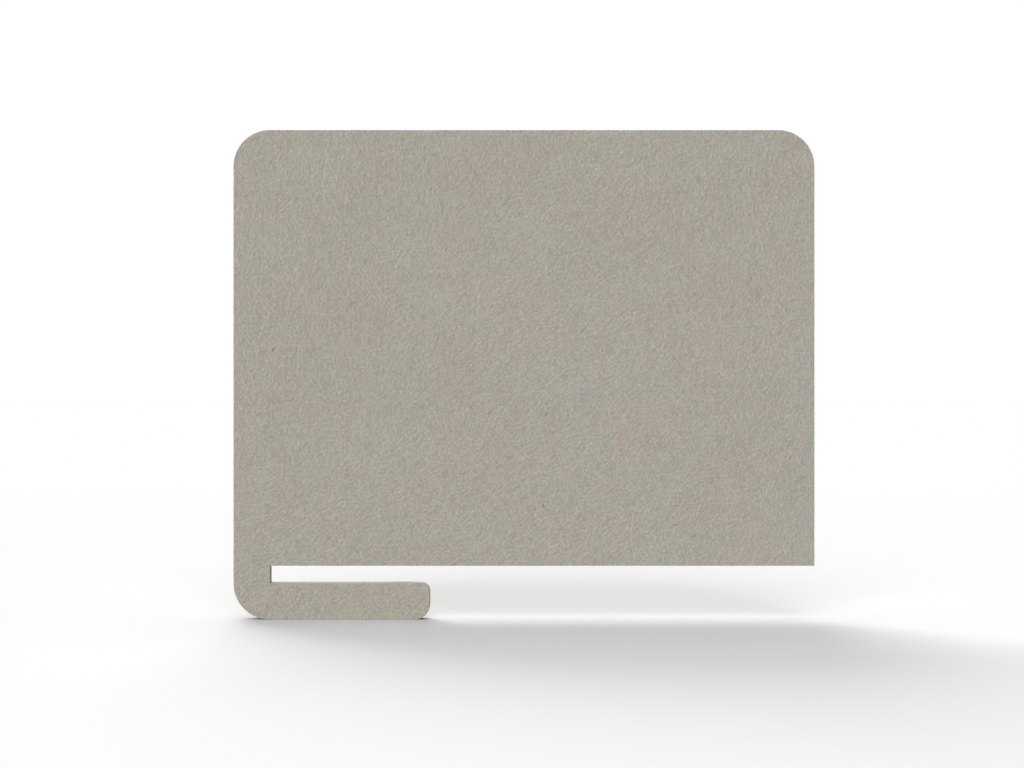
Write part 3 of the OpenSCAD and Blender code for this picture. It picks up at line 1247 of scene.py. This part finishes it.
class StudioOperator(bpy.types.Operator):
    """Build the pale floor, the soft lights and the camera"""

    bl_idname = "desk_screen.studio"
    bl_label = "Studio"

    def execute(self, context):
        scene, setup, size = context.scene, context.scene.studio_setup, context.scene.screen_sizes
        z, half = -size.drop, FLOOR_HALF
        floor = flat_sheet("studio_floor", -half, half, -half, half, z, floor_material(setup.floor_colour))
        # The pale surround lights the screen from below, so the floor lets that light through
        floor.visible_diffuse = False
        floor.visible_shadow = False
        # A card under the arm keeps that light out of the gap between the felt and the floor
        grey, _, shader = new_material("studio_card", roughness=1.0, specular=0.0)
        shader["Base Color"].default_value = CARD_GREY
        left, right = -size.leg_width - CARD_PAST, size.arm_reach + CARD_PAST
        near = size.board_face + CARD_LIP
        card = flat_sheet("studio_card", left, right, -near, near, z - CARD_DEPTH, grey)
        card.visible_camera = False

        for name, azimuth, elevation, spread, strength in LAMPS:
            lamp = bpy.data.lights.new(name, "SUN")
            lamp.energy = strength * setup.brightness
            lamp.angle = np.radians(spread)
            light = bpy.data.objects.new(name, lamp)
            az, el = np.radians((azimuth, elevation))
            towards = Vector((np.cos(el) * np.sin(az), -np.cos(el) * np.cos(az), np.sin(el)))
            light.rotation_euler = towards.to_track_quat("Z", "Y").to_euler()
            scene.collection.objects.link(light)
        scene.world = surround(setup.bounce)

        lens = bpy.data.cameras.new("camera")
        lens.lens = setup.lens
        lens.sensor_width = 36
        lens.clip_end = 200
        camera = bpy.data.objects.new("camera", lens)
        camera.location = (CAMERA_X, -size.board_face - setup.distance, CAMERA_Z)
        camera.rotation_euler = (np.pi / 2, 0, 0)
        scene.collection.objects.link(camera)
        scene.camera = camera
        scene.view_settings.view_transform = "Standard"
        return {"FINISHED"}


class ScreenPanel(bpy.types.Panel):
    """Sidebar panel with the screen's sizes, finish and steps"""

    bl_idname = "VIEW3D_PT_desk_screen"
    bl_label = "Desk Screen"
    bl_space_type = "VIEW_3D"
    bl_region_type = "UI"
    bl_category = "Desk Screen"

    def draw(self, context):
        for name, group in GROUPS.items():
            box = self.layout.box()
            for key in group.__annotations__:
                box.prop(getattr(context.scene, name), key)
        for operator in OPERATORS:
            self.layout.operator(operator.bl_idname)


GROUPS = {"screen_sizes": ScreenSizes, "felt_finish": FeltFinish, "studio_setup": StudioSetup}
OPERATORS = (StudioOperator, BoardsOperator, FilmOperator, StrandsOperator, TuftsOperator)
CLASSES = (*GROUPS.values(), *OPERATORS, ScreenPanel)


def register():
    for cls in CLASSES:
        bpy.utils.register_class(cls)
    for name, group in GROUPS.items():
        setattr(bpy.types.Scene, name, PointerProperty(type=group))


def unregister():
    for name in GROUPS:
        delattr(bpy.types.Scene, name)
    for cls in reversed(CLASSES):
        bpy.utils.unregister_class(cls)


def main():
    register()
    bpy.ops.desk_screen.studio()
    bpy.ops.desk_screen.boards()
    bpy.ops.desk_screen.film()
    bpy.ops.desk_screen.strands()
    bpy.ops.desk_screen.tufts()


if __name__ == "__main__":
    main()
